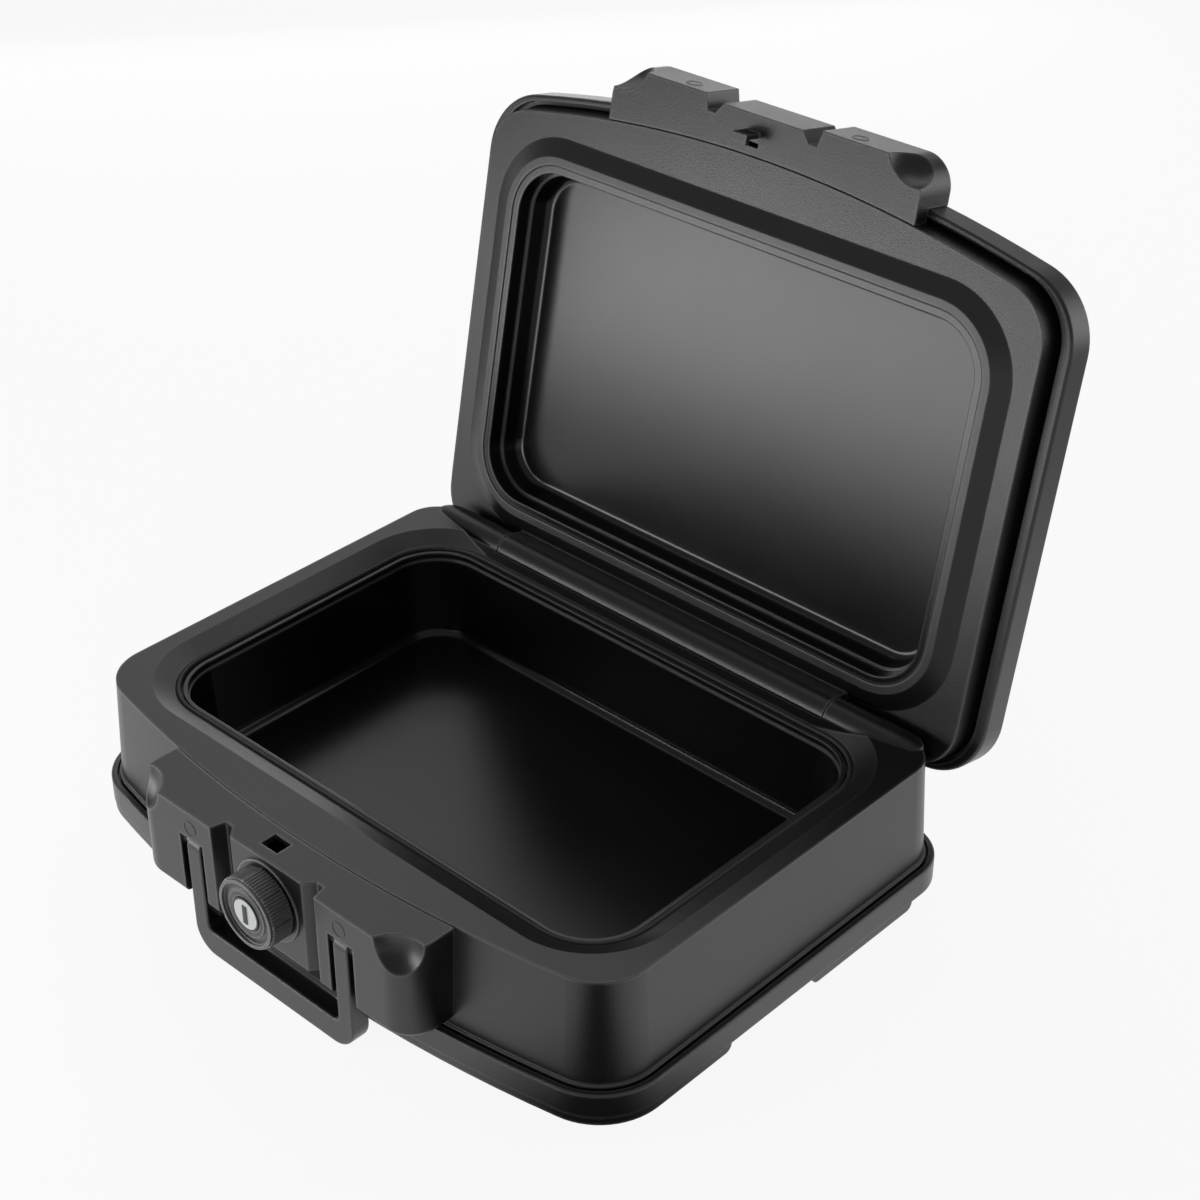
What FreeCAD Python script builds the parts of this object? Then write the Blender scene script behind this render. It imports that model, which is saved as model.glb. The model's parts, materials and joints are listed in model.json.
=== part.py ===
import FreeCAD, Part
import math
import os

# A moulded, insulated cash box with a hinged lid, a turn-knob lock and a swinging carry handle.
# Millimetres, +Z up, front towards -Y. The origin is on the floor below the centre of the body.
# The lid is modelled closed and then swung open about its hinge, which is the rest position.

Vec = FreeCAD.Vector

# Body outline at the parting plane
half_width = 170.5
back_y = 124.0
front_y = -121.65
bow_radius = 726.0
front_corner = 26.6
rear_corner = 18.0
least_corner = 3.0

# Heights of the base, from the floor up
foot_height = 8.25
rail_height = 4.5
pan_rim_height = 12.8
housing_rise = 5.35

# Moulding sizes
skin = 2.6
fit_gap = 0.15
fill_gap = 0.2
parting_gap = 0.3
running_gap = 0.05
press_gap = 0.02
wall_flare = 3.0
seam_gap = 0.5
seam_depth = 2.0
overshoot = 1.0

# Bottom pan
pan_overhang = 8.4
pan_rim_width = 3.1
pan_edge_radius = 1.2
pan_groove_depth = 3.0
shell_lip = 1.0
shell_lip_rise = 1.0
rail_inset = 0.4
rail_end_radius = 4.0
front_rail_end_y = -32.0
rear_rail_start_y = 24.7
rear_rail_end_y = 98.9

# Rubber feet
foot_radius = 11.0
foot_edge = 1.5
foot_plug = 2.0
foot_inset = 35.5
front_foot_inset = 41.65
rear_foot_inset = 45.0

# Base rim and cavity: widths run outward from the mouth of the cavity
rim_side = 25.3
rim_front = 37.65
rim_rear = 24.1
cavity_corner = 28.0
cavity_depth = 54.5
cavity_draft = 3.4
cavity_floor_radius = 5.0
cavity_step = 0.9
cavity_step_depth = 9.5
lip_width = 2.1
lip_drop = 5.6
seal_offset = 1.1
seal_width = 2.2
seal_side_gap = 0.3
seal_round = 0.9
seal_clear = 0.4
slope_width = 10.6
slope_drop = 4.8
channel_depth = 3.0
liner_flange = 3.0
liner_flange_height = 2.2

# Hinge
hinge_x = -3.4
hinge_inset = 0.6
hinge_drop = 8.46
barrel_radius = 9.6
barrel_clearance = 0.5
barrel_half_length = 110.6
slit = 0.5
web_inset = 0.6
pocket_tip_inset = 12.1
pocket_tip_front = 6.4
knuckle_taper = 16.0
knuckle_corner = 34.0
knuckle_tip_inset = 6.5
knuckle_tip_radius = 8.0
knuckle_bulge_along = 0.58
knuckle_bulge_fall = 0.33
hinge_pin_radius = 2.5
hinge_pin_in_lid = 26.0
hinge_pin_in_base = 24.0
open_angle = 101.5

# Lid
lid_rear_overhang = 9.2
lid_rear_corner = 27.3
lid_flare = 1.4
lid_skirt_height = 15.0
ridge_drop = 4.0
ridge_outer = 5.9
ridge_inner = 1.4
lid_slope_outer = 15.2
tray_lip_recess = 0.5
tray_mouth = -2.5
tray_ledge_height = 5.0
tray_ledge = 1.5
tray_wall_draft = 0.6
tray_depth = 16.0
tray_floor_draft = 1.9
tray_floor_radius = 4.0
flange_start = 9.3
flange_end = 23.7
flange_side = 9.8
flange_front = 7.0
flange_rear = 3.8
flange_edge_radius = 1.5
flange_groove = 2.4
flange_groove_depth = 4.0
crown_height = 34.0
crown_inset = 12.0
crown_round = 6.0

# Lock housings on the front of base and lid
housing_half_width = 93.5
housing_reach = 22.45
housing_corner = 15.5
housing_height = 50.4
housing_edge_radius = 3.0
lid_housing_height = 24.0
housing_skin = 3.0
panel_recess = 2.5
panel_half_width = 24.0
notch_depth = 7.9
notch_inner = 28.5
notch_outer = 33.0
block_edge = 35.2
scoop_radius = 17.5
scoop_x = 89.4
scoop_out = 5.9
housing_screw_x = 70.0
housing_screw_low = 37.0
housing_screw_high = 17.0

# Catch hole and hook
catch_x = -4.75
catch_width = 11.1
catch_inset = 8.8
catch_length = 8.7
hook_width = 9.0
hook_drop = 9.6
hook_stem = 2.4
hook_head = 4.7
hook_barb = 2.4
hook_wall = 1.9

# Knob, spindle and latch cam
knob_drop = 23.1
bezel_radius = 20.8
bezel_height = 1.0
bezel_sleeve = 6.5
sleeve_length = 8.0
knob_radius = 18.2
knob_height = 13.9
knob_rib_height = 0.8
knob_rib_foot = 0.35
knob_rib_rise = 0.5
knob_rib_end = 0.85
knob_groups = 8
knob_group_ribs = 7
knob_rim_width = 1.6
knob_face_recess = 1.6
knob_ring_inner = 12.2
knob_ring_step = 0.7
knob_cap_radius = 8.6
knob_cap_height = 1.2
pointer_length = 10.0
pointer_width = 2.6
pointer_height = 0.5
spindle_radius = 5.0
spindle_square = 6.4
spindle_in_knob = 9.0
nut_radius = 10.5
nut_height = 2.4
cam_thickness = 2.3
cam_hub_radius = 8.0
cam_rail_outer = 19.6
cam_rail_width = 2.2
cam_rail_tip = -19.0
cam_arm_start = 8.0
cam_arm_end = 28.0
cam_turn = 90.0

# Carry handle
handle_x = 50.0
handle_arm = 9.3
handle_depth = 10.2
handle_bar = 14.0
handle_floor_gap = 1.8
handle_outer_radius = 13.3
handle_inner_radius = 4.0
handle_pivot_drop = 20.7
handle_edge_round = 1.0
slot_inner_x = 42.6
slot_outer_x = 58.8
slot_top_drop = 15.3
slot_back_gap = 0.7
slot_wall = 2.6
handle_pin_radius = 2.5
handle_pin_seat = 2.2

# Screws
screw_radius = 1.7
screw_length = 14.0
screw_head_radius = 3.5
screw_head_height = 2.4
screw_room = 1.0
boss_radius = 5.0
housing_boss_radius = 3.7
cam_screw_radius = 6.0
pan_screw_inset = 12.5
pan_screw_front_inset = 51.65
pan_screw_rear_inset = 64.0

# Levels and places worked out from the sizes above
wall_height = housing_height + housing_rise
z_pan = foot_height + rail_height
z_floor = z_pan + skin
z_ledge = z_pan + pan_rim_height
z_part = z_ledge + wall_height
z_lid = z_part + parting_gap
z_hinge = z_part - hinge_drop
z_channel = z_part - slope_drop - channel_depth
z_hollow = z_channel - skin
z_cavity = z_part - cavity_depth
z_knob = z_part - knob_drop
z_pivot = z_part - handle_pivot_drop
bow_centre_y = front_y + bow_radius
cavity_half_width = half_width - rim_side
cavity_front_y = front_y + rim_front
cavity_back_y = back_y - rim_rear
hinge_y = back_y - hinge_inset
lid_back_y = back_y + lid_rear_overhang
housing_front_y = front_y - housing_reach
catch_front_y = housing_front_y + catch_inset
panel_y = housing_front_y + panel_recess
bezel_y = panel_y - bezel_height
knob_front_y = panel_y - knob_height
slope_inner = lip_width + seal_offset + seal_width + seal_side_gap
slope_outer = slope_inner + slope_width
liner_outer = lip_width
knuckle_start = barrel_half_length + slit
knuckle_tip = half_width - knuckle_tip_inset
hinge_pin_start = barrel_half_length - hinge_pin_in_lid
hinge_pin_end = knuckle_start + hinge_pin_in_base
pivot_y = housing_front_y + handle_depth / 2
slot_back_y = pivot_y + handle_depth / 2 + slot_back_gap
cam_back_y = catch_front_y + hook_wall + hook_head + slit
cam_front_y = cam_back_y - cam_thickness
far = 400.0


def line(a, b):
    return Part.makeLine(a, b)


def arc(a, b, c):
    return Part.Arc(a, b, c).toShape()


def corner_mid(cx, cy, radius, angle):
    return cx + radius * math.cos(math.radians(angle)), cy + radius * math.sin(math.radians(angle))


def outline(z, rear, corner, side, front, back):
    """An outline with the bowed front, grown by the given amounts, as a wire at height z."""
    wide = half_width + side
    rear = rear + back
    bow = bow_radius + front
    r_front = max(front_corner + (side + front) / 2, least_corner)
    r_rear = max(corner + min(side, back), least_corner)
    cx = wide - r_front
    cy = bow_centre_y - math.sqrt((bow - r_front) ** 2 - cx ** 2)
    tilt = math.degrees(math.atan2(cy - bow_centre_y, cx))
    tx, ty = corner_mid(cx, cy, r_front, tilt)
    mx, my = corner_mid(cx, cy, r_front, tilt / 2)
    ry = rear - r_rear
    rx = wide - r_rear
    nx, ny = corner_mid(rx, ry, r_rear, 45)
    edges = [
        arc(Vec(-tx, ty, z), Vec(0, bow_centre_y - bow, z), Vec(tx, ty, z)),
        arc(Vec(tx, ty, z), Vec(mx, my, z), Vec(wide, cy, z)),
        line(Vec(wide, cy, z), Vec(wide, ry, z)),
        arc(Vec(wide, ry, z), Vec(nx, ny, z), Vec(rx, rear, z)),
        line(Vec(rx, rear, z), Vec(-rx, rear, z)),
        arc(Vec(-rx, rear, z), Vec(-nx, ny, z), Vec(-wide, ry, z)),
        line(Vec(-wide, ry, z), Vec(-wide, cy, z)),
        arc(Vec(-wide, cy, z), Vec(-mx, my, z), Vec(-tx, ty, z)),
    ]
    return Part.Wire(edges)


def body_plan(z, grow):
    """The base's outline, grown outward."""
    return outline(z, back_y, rear_corner, grow, grow, grow)


def lid_plan(z, grow):
    """The lid's outline, which reaches back over the hinge barrel, grown outward."""
    return outline(z, lid_back_y, lid_rear_corner, grow, grow, grow)


def mouth_plan(z, grow):
    """The cavity's rounded rectangle, grown outward from its mouth, as a wire at height z."""
    wide = cavity_half_width + grow
    low = cavity_front_y - grow
    high = cavity_back_y + grow
    r = cavity_corner + grow
    mid = r * (1 - math.sqrt(0.5))
    edges = [
        line(Vec(-wide + r, low, z), Vec(wide - r, low, z)),
        arc(Vec(wide - r, low, z), Vec(wide - mid, low + mid, z), Vec(wide, low + r, z)),
        line(Vec(wide, low + r, z), Vec(wide, high - r, z)),
        arc(Vec(wide, high - r, z), Vec(wide - mid, high - mid, z), Vec(wide - r, high, z)),
        line(Vec(wide - r, high, z), Vec(-wide + r, high, z)),
        arc(Vec(-wide + r, high, z), Vec(-wide + mid, high - mid, z), Vec(-wide, high - r, z)),
        line(Vec(-wide, high - r, z), Vec(-wide, low + r, z)),
        arc(Vec(-wide, low + r, z), Vec(-wide + mid, low + mid, z), Vec(-wide + r, low, z)),
    ]
    return Part.Wire(edges)


def prism(wire, height):
    return Part.Face(wire).extrude(Vec(0, 0, height))


def loft(*wires):
    return Part.makeLoft(list(wires), True, True)


def box(x0, x1, y0, y1, z0, z1):
    return Part.makeBox(x1 - x0, y1 - y0, z1 - z0, Vec(x0, y0, z0))


def rod_x(radius, x0, x1, y, z):
    return Part.makeCylinder(radius, x1 - x0, Vec(x0, y, z), Vec(1, 0, 0))


def rod_y(radius, y0, y1, x, z):
    return Part.makeCylinder(radius, y1 - y0, Vec(x, y0, z), Vec(0, 1, 0))


def rod_z(radius, z0, z1, x, y):
    return Part.makeCylinder(radius, z1 - z0, Vec(x, y, z0), Vec(0, 0, 1))


def mirrored(shape):
    return shape.mirror(Vec(0, 0, 0), Vec(1, 0, 0))


def flipped(point):
    return Vec(-point.x, point.y, point.z)


def both_sides(shape):
    return [shape, mirrored(shape)]


def edges_at(shape, z, within=None):
    """The edges that lie wholly at height z, and inside the box called within if there is one."""
    chosen = []
    for edge in shape.Edges:
        low = edge.BoundBox.ZMin
        high = edge.BoundBox.ZMax
        if abs(low - z) < 1e-4 and abs(high - z) < 1e-4:
            if within is None or within.isInside(edge.BoundBox):
                chosen.append(edge)
    return chosen


def screw(at, direction):
    """A pan-head screw whose head sits on the point given, with the shank along direction."""
    shank = Part.makeCylinder(screw_radius, screw_length, at, direction)
    head = Part.makeCylinder(screw_head_radius, screw_head_height, at, direction * -1)
    return shank.fuse(head).removeSplitter()


def knuckle(grow):
    """The round envelope of one base knuckle about the hinge axis, on the right."""
    start = knuckle_start - grow
    tip = knuckle_tip + grow
    wide = barrel_radius + grow
    bend = tip - knuckle_taper
    tip_r = knuckle_tip_radius + grow
    mid_x = bend + (tip - bend) * knuckle_bulge_along
    mid_r = wide - (wide - tip_r) * knuckle_bulge_fall
    edges = [
        line(Vec(start, 0, 0), Vec(start, wide, 0)),
        line(Vec(start, wide, 0), Vec(bend, wide, 0)),
        arc(Vec(bend, wide, 0), Vec(mid_x, mid_r, 0), Vec(tip, tip_r, 0)),
        line(Vec(tip, tip_r, 0), Vec(tip, 0, 0)),
        line(Vec(tip, 0, 0), Vec(start, 0, 0)),
    ]
    shape = Part.Face(Part.Wire(edges)).revolve(Vec(0, 0, 0), Vec(1, 0, 0), 360)
    shape.translate(Vec(0, hinge_y, z_hinge))
    return shape


def hinge_pair(shape):
    """A piece of the hinge and its mirror image, moved to the middle of the barrel."""
    pair = both_sides(shape)
    for each in pair:
        each.translate(Vec(hinge_x, 0, 0))
    return pair


def base_knuckles():
    """The knuckles as the base carries them, their ends trimmed to a rounded rear corner."""
    low = z_hinge - 2 * barrel_radius
    corner = outline(low, hinge_y, knuckle_corner, 0, 0, barrel_radius + overshoot)
    room = prism(corner, 4 * barrel_radius)
    return [each.common(room) for each in hinge_pair(knuckle(0))]


def knuckle_pocket():
    """The part of the rim that lies lower in front of the right knuckle, tapering towards its tip."""
    z = z_part - slope_drop
    start = knuckle_start - abs(hinge_x) - overshoot
    corners = [
        Vec(start, cavity_back_y + slope_inner, z),
        Vec(half_width - pocket_tip_inset, hinge_y - pocket_tip_front, z),
        Vec(knuckle_tip + barrel_clearance, hinge_y, z),
        Vec(knuckle_tip + barrel_clearance, far, z),
        Vec(start, far, z),
    ]
    return prism(Part.makePolygon(corners + corners[:1]), slope_drop + overshoot)


def body_outer():
    """The base's drafted outer volume, from the ledge to the parting plane."""
    return loft(body_plan(z_ledge, wall_flare), body_plan(z_part, 0))


def hinge_trough(radius):
    return rod_x(radius, hinge_x - knuckle_start, hinge_x + knuckle_start, hinge_y, z_hinge)


def pan_screw_places():
    x = half_width - pan_screw_inset
    return [
        Vec(side * x, y, 0)
        for side in (-1, 1)
        for y in (front_y + pan_screw_front_inset, back_y - pan_screw_rear_inset)
    ]


def housing_screw_places():
    """Where the housing screws' heads sit on the inside of the base's front wall."""
    places = []
    for side in (-1, 1):
        for drop in (housing_screw_low, housing_screw_high):
            z = z_part - drop
            share = (z_hollow - z) / (z_hollow - z_floor)
            bow = bow_radius - skin + wall_flare * share
            y = bow_centre_y - math.sqrt(bow ** 2 - housing_screw_x ** 2)
            places.append(Vec(side * housing_screw_x, y + screw_room, z))
    return places


def base_shell():
    """Outer wall, parting flat, inward slope, seal channel, hinge trough and knuckles in one moulding."""
    body = body_outer()
    foot = prism(body_plan(z_floor, wall_flare + shell_lip), z_ledge + shell_lip_rise - z_floor)
    body = body.fuse(foot)
    hollow = loft(body_plan(z_floor, wall_flare - skin), body_plan(z_hollow, -skin))
    under_flat = prism(body_plan(z_hollow, -skin), z_part - skin - z_hollow)
    under_flat = under_flat.cut(prism(mouth_plan(z_hollow, slope_outer + skin), z_part - z_hollow))
    under_flat = under_flat.cut(box(-far, far, cavity_back_y, far, z_hollow - overshoot, z_part))
    shell = body.cut([hollow, under_flat])
    trough_wall = hinge_trough(barrel_radius + barrel_clearance + skin).common(body_outer())
    bosses = [rod_z(boss_radius, z_floor, z_hollow + overshoot, p.x, p.y) for p in pan_screw_places()]
    shell = shell.fuse([trough_wall] + bosses)
    slope = loft(mouth_plan(z_part - slope_drop, slope_inner), mouth_plan(z_part, slope_outer))
    channel = prism(mouth_plan(z_channel, slope_inner), channel_depth + slope_drop)
    opening = prism(mouth_plan(z_hollow - overshoot, liner_outer + fit_gap), far)
    plateau_y = cavity_back_y + slope_inner
    left = hinge_x - knuckle_start
    right = hinge_x + knuckle_start
    plateau = box(left, right, plateau_y, far, z_part - slope_drop, z_part + overshoot)
    web_y = hinge_y - barrel_radius - barrel_clearance
    web_room = box(left, right, web_y, far, z_hinge, z_part + overshoot)
    shell = shell.cut([slope, channel, opening, plateau, web_room] + both_sides(knuckle_pocket()))
    shell = shell.fuse(base_knuckles())
    shell = shell.cut(hinge_trough(barrel_radius + barrel_clearance))
    pin_start = knuckle_start - overshoot
    pin_hole = rod_x(hinge_pin_radius + press_gap, pin_start, hinge_pin_end, hinge_y, z_hinge)
    screw_holes = [
        rod_z(screw_radius + press_gap, z_floor, z_floor + screw_length, p.x, p.y)
        for p in pan_screw_places()
    ]
    wall_holes = [
        rod_y(screw_radius + press_gap, p.y - screw_length, p.y, p.x, p.z)
        for p in housing_screw_places()
    ]
    return shell.cut(hinge_pair(pin_hole) + screw_holes + wall_holes).removeSplitter()


def liner_block(grow):
    """The tub's outside, grown by the given amount."""
    z_top = z_part - lip_drop
    z_bottom = z_cavity - skin - grow
    wall = loft(
        mouth_plan(z_bottom, liner_outer - cavity_draft + grow),
        mouth_plan(z_top, liner_outer + grow),
    )
    flange = prism(
        mouth_plan(z_hollow - liner_flange_height - grow, liner_outer + liner_flange + grow),
        liner_flange_height + grow,
    )
    return wall.fuse(flange)


def base_liner():
    """The inner tub: a lip round the mouth, a small step below it, drafted walls and a rounded floor."""
    z_top = z_part - lip_drop
    z_step = z_part - cavity_step_depth
    mouth = prism(mouth_plan(z_step, 0), z_top - z_step)
    deep = loft(
        mouth_plan(z_cavity, -cavity_step - cavity_draft),
        mouth_plan(z_step, -cavity_step),
    )
    deep = deep.makeFillet(cavity_floor_radius, edges_at(deep, z_cavity))
    return liner_block(0).cut([mouth, deep]).removeSplitter()


def rim_seal():
    """The soft seal that stands in the channel, with a rounded top for the lid's ridge to press on."""
    z_top = z_part + parting_gap - ridge_drop - seal_clear
    inner = lip_width + seal_offset
    ring = prism(mouth_plan(z_channel, inner + seal_width), z_top - z_channel)
    ring = ring.cut(prism(mouth_plan(z_channel, inner), z_top - z_channel))
    return ring.makeFillet(seal_round, edges_at(ring, z_top))


def base_insulation():
    """The cast filling between the outer shell, the tub and the pan."""
    fill = loft(
        body_plan(z_floor + fill_gap, wall_flare - skin - fill_gap),
        body_plan(z_hollow - fill_gap, -skin - fill_gap),
    )
    tools = [liner_block(fill_gap), hinge_trough(barrel_radius + barrel_clearance + skin + fill_gap)]
    tools += hinge_pair(knuckle(fill_gap))
    tools += [rod_z(boss_radius + fill_gap, z_floor, z_hollow, p.x, p.y) for p in pan_screw_places()]
    for p in housing_screw_places():
        room = screw_head_height + screw_room
        tools.append(rod_y(screw_head_radius + screw_room, p.y - skin, p.y + room, p.x, p.z))
    return fill.cut(tools).removeSplitter()


def rail(y0, y1):
    """A skid rail across the pan, its lower edges rounded at the ends, before it is cut to the outline."""
    r = rail_end_radius
    bend = r * (1 - math.sqrt(0.5))
    low = foot_height
    edges = [
        line(Vec(-far, y0 + r, low), Vec(-far, y1 - r, low)),
        arc(Vec(-far, y1 - r, low), Vec(-far, y1 - bend, low + bend), Vec(-far, y1, low + r)),
        line(Vec(-far, y1, low + r), Vec(-far, y1, z_pan)),
        line(Vec(-far, y1, z_pan), Vec(-far, y0, z_pan)),
        line(Vec(-far, y0, z_pan), Vec(-far, y0, low + r)),
        arc(Vec(-far, y0, low + r), Vec(-far, y0 + bend, low + bend), Vec(-far, y0 + r, low)),
    ]
    return Part.Face(Part.Wire(edges)).extrude(Vec(2 * far, 0, 0))


def foot_places():
    x = half_width - foot_inset
    return [
        Vec(side * x, y, 0)
        for side in (-1, 1)
        for y in (front_y + front_foot_inset, back_y - rear_foot_inset)
    ]


def base_pan():
    """The bottom pan: a flanged rim round the shell's foot, a floor and two skid rails."""
    pan = prism(body_plan(z_pan, pan_overhang), pan_rim_height)
    pan = pan.makeFillet(pan_edge_radius, edges_at(pan, z_ledge))
    groove = pan_overhang - pan_rim_width
    socket = wall_flare + shell_lip + fit_gap
    pan = pan.cut(
        [
            prism(body_plan(z_ledge - pan_groove_depth, groove), far),
            prism(body_plan(z_floor, socket), far),
        ]
    )
    outline = prism(body_plan(foot_height, pan_overhang - rail_inset), rail_height)
    front_rail = outline.common(rail(-far, front_rail_end_y))
    rear_rail = outline.common(rail(rear_rail_start_y, rear_rail_end_y))
    pan = pan.fuse([front_rail, rear_rail])
    sockets = [
        rod_z(foot_radius + fit_gap, 0, foot_height + foot_plug, p.x, p.y) for p in foot_places()
    ]
    for p in pan_screw_places():
        sockets.append(rod_z(screw_radius + fit_gap, 0, z_floor + overshoot, p.x, p.y))
        sockets.append(rod_z(screw_head_radius + fit_gap, 0, z_pan, p.x, p.y))
    return pan.cut(sockets).removeSplitter()


def rubber_feet():
    """Four round feet plugged into the rails."""
    feet = []
    for p in foot_places():
        foot = rod_z(foot_radius, 0, foot_height + foot_plug, p.x, p.y)
        feet.append(foot.makeChamfer(foot_edge, edges_at(foot, 0)))
    return feet


def pan_screws():
    return [screw(Vec(p.x, p.y, z_pan), Vec(0, 0, 1)) for p in pan_screw_places()]


def housing_screws():
    return [screw(p, Vec(0, -1, 0)) for p in housing_screw_places()]


def housing_plan(z):
    """The lock housing's outline: rounded corners, two blocks, slanted notches and a set-back panel."""
    front = housing_front_y
    notch_y = front + notch_depth
    mid = housing_corner * (1 - math.sqrt(0.5))
    right = [
        Vec(panel_half_width, panel_y, z),
        Vec(notch_inner, notch_y, z),
        Vec(notch_outer, notch_y, z),
        Vec(block_edge, front, z),
        Vec(housing_half_width - housing_corner, front, z),
    ]
    bend = [
        Vec(housing_half_width - housing_corner, front, z),
        Vec(housing_half_width - mid, front + mid, z),
        Vec(housing_half_width, front + housing_corner, z),
    ]
    rear = Vec(housing_half_width, cavity_front_y, z)
    edges = [line(a, b) for a, b in zip(right, right[1:])]
    edges.append(arc(*bend))
    edges.append(line(bend[2], rear))
    edges.append(line(rear, flipped(rear)))
    edges.append(line(flipped(rear), flipped(bend[2])))
    edges.append(arc(flipped(bend[2]), flipped(bend[1]), flipped(bend[0])))
    edges += [line(flipped(a), flipped(b)) for a, b in zip(right[::-1], right[-2::-1])]
    edges.append(line(flipped(right[0]), right[0]))
    return Part.Wire(edges)


def scoops(grow):
    """The finger scoops that the parting plane cuts through, one at each outer corner."""
    centre = Vec(scoop_x, housing_front_y - scoop_out, z_part + parting_gap / 2)
    return both_sides(Part.makeSphere(scoop_radius + grow, centre))


def scoop_backing(block):
    """The wall behind each scoop, where the housing is hollow."""
    return [ball.common(block) for ball in scoops(housing_skin)]


def housing_hollow(z0, z1):
    """The inside of a housing: one space behind the notches, with pockets into the panel and the blocks."""
    behind = housing_front_y + notch_depth + housing_skin
    side = housing_half_width - housing_skin
    pocket = slot_outer_x + slot_wall
    block_front = housing_front_y + housing_skin
    centre_side = panel_half_width - housing_skin
    space = [
        box(-side, side, behind, front_y + far, z0, z1),
        box(-centre_side, centre_side, panel_y + housing_skin, behind + overshoot, z0, z1),
    ]
    block_side = housing_half_width - housing_corner
    space += both_sides(box(pocket, block_side, block_front, behind + overshoot, z0, z1))
    return space


def lock_housing():
    """The base's housing: handle slots open at the bottom, catch hole in the top, bore for the knob."""
    z_low = z_part - housing_height
    block = prism(housing_plan(z_low), housing_height)
    lower = [
        edge for edge in edges_at(block, z_low)
        if edge.CenterOfMass.y < housing_front_y + housing_corner and abs(edge.CenterOfMass.x) > block_edge
    ]
    block = block.makeFillet(housing_edge_radius, lower)
    backing = scoop_backing(block)
    block = block.cut(housing_hollow(z_low + housing_skin, z_part - housing_skin))
    slot_top = z_part - slot_top_drop
    shrouds = both_sides(
        box(
            slot_inner_x - slot_wall,
            slot_outer_x + slot_wall,
            housing_front_y + housing_skin,
            slot_back_y + slot_wall,
            z_low + housing_skin / 2,
            slot_top + slot_wall,
        )
    )
    bosses = [
        rod_y(housing_boss_radius, housing_front_y + overshoot, p.y, p.x, p.z)
        for p in housing_screw_places()
    ]
    block = block.fuse(shrouds + bosses + backing)
    slots = both_sides(
        box(slot_inner_x, slot_outer_x, -far, slot_back_y, z_low - far, slot_top)
    )
    pin_seat = rod_x(
        handle_pin_radius + press_gap,
        slot_inner_x - handle_pin_seat,
        slot_outer_x + handle_pin_seat,
        pivot_y,
        z_pivot,
    )
    catch = box(
        catch_x - catch_width / 2,
        catch_x + catch_width / 2,
        catch_front_y,
        catch_front_y + catch_length,
        z_part - housing_skin - overshoot,
        z_part + overshoot,
    )
    bore = rod_y(bezel_sleeve + press_gap, -far, panel_y + housing_skin + overshoot, 0, z_knob)
    screw_holes = [
        rod_y(screw_radius + press_gap, p.y - screw_length, p.y, p.x, p.z) for p in housing_screw_places()
    ]
    seam = prism(body_plan(z_part - seam_depth, seam_gap), seam_depth + overshoot)
    tools = slots + both_sides(pin_seat) + [catch, bore, body_outer(), seam] + screw_holes + scoops(0)
    return block.cut(tools).removeSplitter()


def handle_pins():
    pin = rod_x(
        handle_pin_radius,
        slot_inner_x - handle_pin_seat,
        slot_outer_x + handle_pin_seat,
        pivot_y,
        z_pivot,
    )
    return both_sides(pin)


def hinge_pins():
    return hinge_pair(rod_x(hinge_pin_radius, hinge_pin_start, hinge_pin_end, hinge_y, z_hinge))


def knob_bezel():
    """A flat ring on the panel with a sleeve through it that carries the spindle."""
    ring = rod_y(bezel_radius, bezel_y, panel_y, 0, z_knob)
    sleeve = rod_y(bezel_sleeve, bezel_y, panel_y + sleeve_length, 0, z_knob)
    bore = rod_y(spindle_radius + running_gap, -far, far, 0, z_knob)
    return ring.fuse(sleeve).cut(bore).removeSplitter()


def lock_nut():
    """The hexagon nut that clamps the sleeve from behind the panel."""
    y = panel_y + housing_skin
    corners = [
        Vec(
            nut_radius * math.cos(math.radians(60 * i)),
            y,
            z_knob + nut_radius * math.sin(math.radians(60 * i)),
        )
        for i in range(7)
    ]
    nut = Part.Face(Part.makePolygon(corners)).extrude(Vec(0, nut_height, 0))
    return nut.cut(rod_y(bezel_sleeve + press_gap, -far, far, 0, z_knob))


def polar(radius, angle, y):
    """A point about the knob's axis; angle 0 is up and positive turns towards +X."""
    turn = math.radians(angle)
    return Vec(radius * math.sin(turn), y, z_knob + radius * math.cos(turn))


def knob_grip():
    """The ribbed outline of the knob: groups of fine ribs between broad plain ones."""
    root = knob_radius - knob_rib_height
    pitch = 360.0 / (knob_groups * (knob_group_ribs + 2))
    points = []
    for group in range(knob_groups):
        start = group * (knob_group_ribs + 2) * pitch
        for rib in range(knob_group_ribs + 1):
            at = start + rib * pitch
            points.append((root, at))
            points.append((root, at + pitch * knob_rib_foot))
            points.append((knob_radius, at + pitch * knob_rib_rise))
            points.append((knob_radius, at + pitch * knob_rib_end))
        points.append((knob_radius, at + pitch * (1 + knob_rib_end)))
    corners = [polar(r, angle, knob_front_y + knob_face_recess) for r, angle in points]
    return Part.makePolygon(corners + corners[:1])


def lock_knob():
    """The ribbed knob with a raised rim, stepped rings on its face and a seat for the cap."""
    back = bezel_y - parting_gap
    front = knob_front_y
    seat = front + knob_face_recess
    grip = Part.Face(knob_grip()).extrude(Vec(0, back - seat, 0))
    root = knob_radius - knob_rib_height
    rim = rod_y(root, front, seat, 0, z_knob).cut(rod_y(root - knob_rim_width, front, seat, 0, z_knob))
    ring = rod_y(knob_ring_inner, seat - knob_ring_step, seat, 0, z_knob)
    knob = grip.fuse([rim, ring])
    cap_seat = rod_y(knob_cap_radius + fit_gap, -far, seat, 0, z_knob)
    bore = rod_y(spindle_radius + press_gap, back - spindle_in_knob, far, 0, z_knob)
    return knob.cut([cap_seat, bore]).removeSplitter()


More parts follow.
